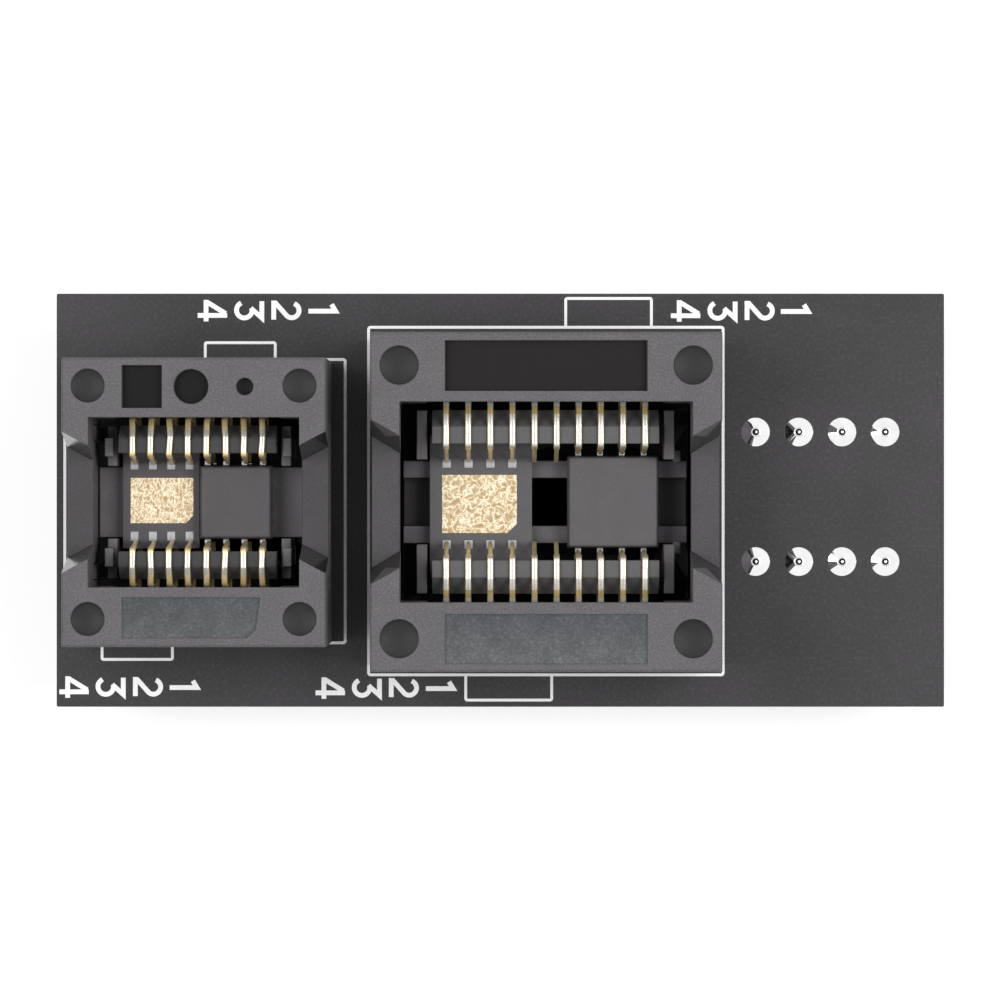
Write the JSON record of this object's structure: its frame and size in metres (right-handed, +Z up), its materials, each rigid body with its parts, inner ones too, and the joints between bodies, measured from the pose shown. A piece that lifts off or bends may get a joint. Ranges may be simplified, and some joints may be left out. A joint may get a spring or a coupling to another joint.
{
  "type": "ic programmer adapter socket",
  "caption": "Small circuit board with two open-top chip sockets and a two-row pin header underneath; each socket frame presses down to swing its contact rows open.",
  "frame": {"origin": "under the middle of the board, level with the tips of the header pins", "axes": "+X along the board towards the header, +Y towards the board's rear edge, +Z up"},
  "size_m": [0.0522, 0.0242, 0.0181],
  "materials": {
    "board_lacquer": "near-black satin solder mask",
    "header_plastic": "black moulded insulator",
    "pin_metal": "bright tin plate",
    "solder": "bright wetted solder",
    "base_plastic": "dark grey moulded plastic",
    "comb_plastic": "dark grey moulded plastic, smooth",
    "frame_plastic": "grey moulded plastic with a fine spark texture",
    "contact_gold": "pale gold plate",
    "spring_steel": "drawn wire",
    "chip_mould": "grey moulding compound",
    "pad_tin": "matt tin",
    "thermal_gold": "crinkled pale gold"
  },
  "bodies": {
    "adapter": {"circuit_board": "board_lacquer", "header_front_insulator": "header_plastic", "header_front_pins": "pin_metal", "header_front_solder": "solder", "header_rear_insulator": "header_plastic", "header_rear_pins": "pin_metal", "header_rear_solder": "solder", "large_base": "base_plastic", "large_springs": "spring_steel", "large_leadless_chip": "chip_mould", "large_leadless_pads": "pad_tin", "large_leadless_thermal_pad": "thermal_gold", "large_leaded_chip": "chip_mould", "large_leaded_leads": "pad_tin", "large_rear_feet": "contact_gold", "large_rear_tail_solder": "solder", "large_front_feet": "contact_gold", "large_front_tail_solder": "solder", "small_base": "base_plastic", "small_springs": "spring_steel", "small_leadless_chip": "chip_mould", "small_leadless_pads": "pad_tin", "small_leadless_thermal_pad": "thermal_gold", "small_leaded_chip": "chip_mould", "small_leaded_leads": "pad_tin", "small_rear_feet": "contact_gold", "small_rear_tail_solder": "solder", "small_front_feet": "contact_gold", "small_front_tail_solder": "solder"},
    "large_frame": {"large_frame": "frame_plastic"},
    "large_rear_row": {"large_rear_comb": "comb_plastic", "large_rear_contacts": "contact_gold"},
    "large_front_row": {"large_front_comb": "comb_plastic", "large_front_contacts": "contact_gold"},
    "small_frame": {"small_frame": "frame_plastic"},
    "small_rear_row": {"small_rear_comb": "comb_plastic", "small_rear_contacts": "contact_gold"},
    "small_front_row": {"small_front_comb": "comb_plastic", "small_front_contacts": "contact_gold"}
  },
  "joints": [
    {"name": "large_frame_press", "type": "slide", "parent": "adapter", "child": "large_frame", "axis": [0, 0, -1], "range_m": [0, 0.002], "stiffness_N_per_m": 100, "springref_m": -0.001, "deforming": ["large_springs"]},
    {"name": "large_rear_row_turn", "type": "hinge", "parent": "adapter", "child": "large_rear_row", "pos_m": [0.0026, 0.0047, 0.0088], "axis": [-1, 0, 0], "range_deg": [0, 28.41]},
    {"name": "large_front_row_turn", "type": "hinge", "parent": "adapter", "child": "large_front_row", "pos_m": [0.0026, -0.0049, 0.0088], "axis": [1, 0, 0], "range_deg": [0, 28.41]},
    {"name": "small_frame_press", "type": "slide", "parent": "adapter", "child": "small_frame", "axis": [0, 0, -1], "range_m": [0, 0.0017], "stiffness_N_per_m": 100, "springref_m": -0.001, "deforming": ["small_springs"]},
    {"name": "small_rear_row_turn", "type": "hinge", "parent": "adapter", "child": "small_rear_row", "pos_m": [-0.0174, 0.0038, 0.0088], "axis": [-1, 0, 0], "range_deg": [0, 27.88]},
    {"name": "small_front_row_turn", "type": "hinge", "parent": "adapter", "child": "small_front_row", "pos_m": [-0.0174, -0.00404, 0.0088], "axis": [1, 0, 0], "range_deg": [0, 27.88]}
  ],
  "couplings": [
    {"joint": "large_rear_row_turn", "follows": "large_frame_press", "rad_per_m": 247.81},
    {"joint": "large_front_row_turn", "follows": "large_frame_press", "rad_per_m": 247.81},
    {"joint": "small_rear_row_turn", "follows": "small_frame_press", "rad_per_m": 286.13},
    {"joint": "small_front_row_turn", "follows": "small_frame_press", "rad_per_m": 286.13}
  ]
}
